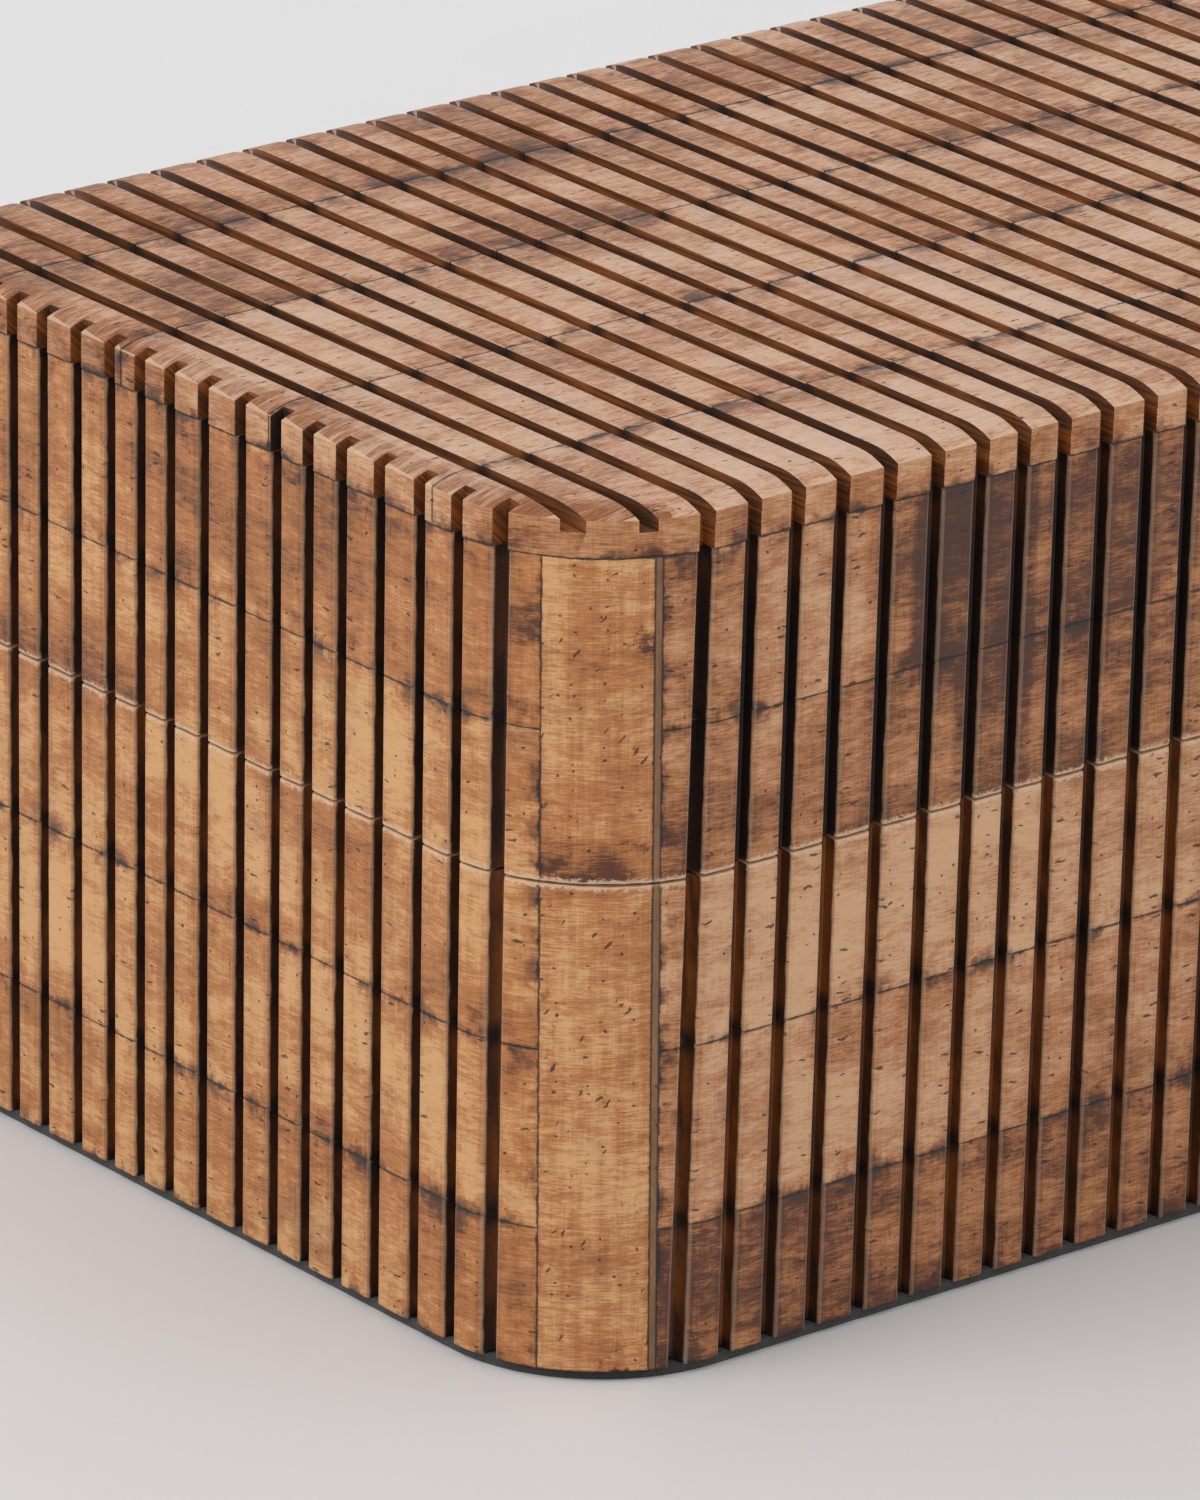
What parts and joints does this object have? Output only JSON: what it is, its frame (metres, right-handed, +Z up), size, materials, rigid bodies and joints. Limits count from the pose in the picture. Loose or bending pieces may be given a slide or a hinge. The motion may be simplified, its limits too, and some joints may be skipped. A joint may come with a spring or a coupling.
{
  "type": "lidded box",
  "caption": "Rectangular keepsake box with rounded corners, clad in grooved browned tiles, with a deep hinged lid cut from the body along a tight seam.",
  "frame": {"origin": "centre of the face that the box rests on", "axes": "+X along the front, +Y from the front to the hinged back, +Z up"},
  "size_m": [0.251, 0.131, 0.1016],
  "materials": {
    "browned_bone": "satin, heat-browned and polished",
    "pale_bone": "satin",
    "carcass_wood": "matt",
    "lining_felt": "felt",
    "dark_felt": "felt",
    "brass": "brushed",
    "screw_brass": "plated"
  },
  "bodies": {
    "base": {"base_back_course_1": "browned_bone", "base_back_course_2": "browned_bone", "base_back_course_3": "browned_bone", "base_corner_blocks": "carcass_wood", "base_corner_strips": "pale_bone", "base_corner_tile_back_left": "browned_bone", "base_corner_tile_back_right": "browned_bone", "base_corner_tile_front_left": "browned_bone", "base_corner_tile_front_right": "browned_bone", "base_floor": "carcass_wood", "base_front_course_1": "browned_bone", "base_front_course_2": "browned_bone", "base_front_course_3": "browned_bone", "base_left_course_1": "browned_bone", "base_left_course_2": "browned_bone", "base_left_course_3": "browned_bone", "base_lining": "lining_felt", "base_right_course_1": "browned_bone", "base_right_course_2": "browned_bone", "base_right_course_3": "browned_bone", "base_underside": "dark_felt", "base_wall_back": "carcass_wood", "base_wall_front": "carcass_wood", "base_wall_left": "carcass_wood", "base_wall_right": "carcass_wood", "hinge_lower_leaf_left": "brass", "hinge_lower_leaf_right": "brass", "hinge_lower_screws": "screw_brass", "hinge_pin_left": "brass", "hinge_pin_right": "brass"},
    "lid": {"hinge_upper_leaf_left": "brass", "hinge_upper_leaf_right": "brass", "hinge_upper_screws": "screw_brass", "lid_back_course_1": "browned_bone", "lid_back_course_2": "browned_bone", "lid_board": "carcass_wood", "lid_corner_blocks": "carcass_wood", "lid_corner_strips": "pale_bone", "lid_corner_tile_back_left": "browned_bone", "lid_corner_tile_back_right": "browned_bone", "lid_corner_tile_front_left": "browned_bone", "lid_corner_tile_front_right": "browned_bone", "lid_front_course_1": "browned_bone", "lid_front_course_2": "browned_bone", "lid_left_course_1": "browned_bone", "lid_left_course_2": "browned_bone", "lid_lining": "lining_felt", "lid_right_course_1": "browned_bone", "lid_right_course_2": "browned_bone", "lid_top_strip_1": "browned_bone", "lid_top_strip_2": "browned_bone", "lid_top_strip_3": "browned_bone", "lid_top_strip_4": "browned_bone", "lid_top_strip_5": "browned_bone", "lid_wall_back": "carcass_wood", "lid_wall_front": "carcass_wood", "lid_wall_left": "carcass_wood", "lid_wall_right": "carcass_wood"}
  },
  "joints": [
    {"name": "lid_hinge", "type": "hinge", "parent": "base", "child": "lid", "pos_m": [0, 0.0625, 0.0587], "axis": [-1, 0, 0], "range_deg": [0, 95]}
  ]
}
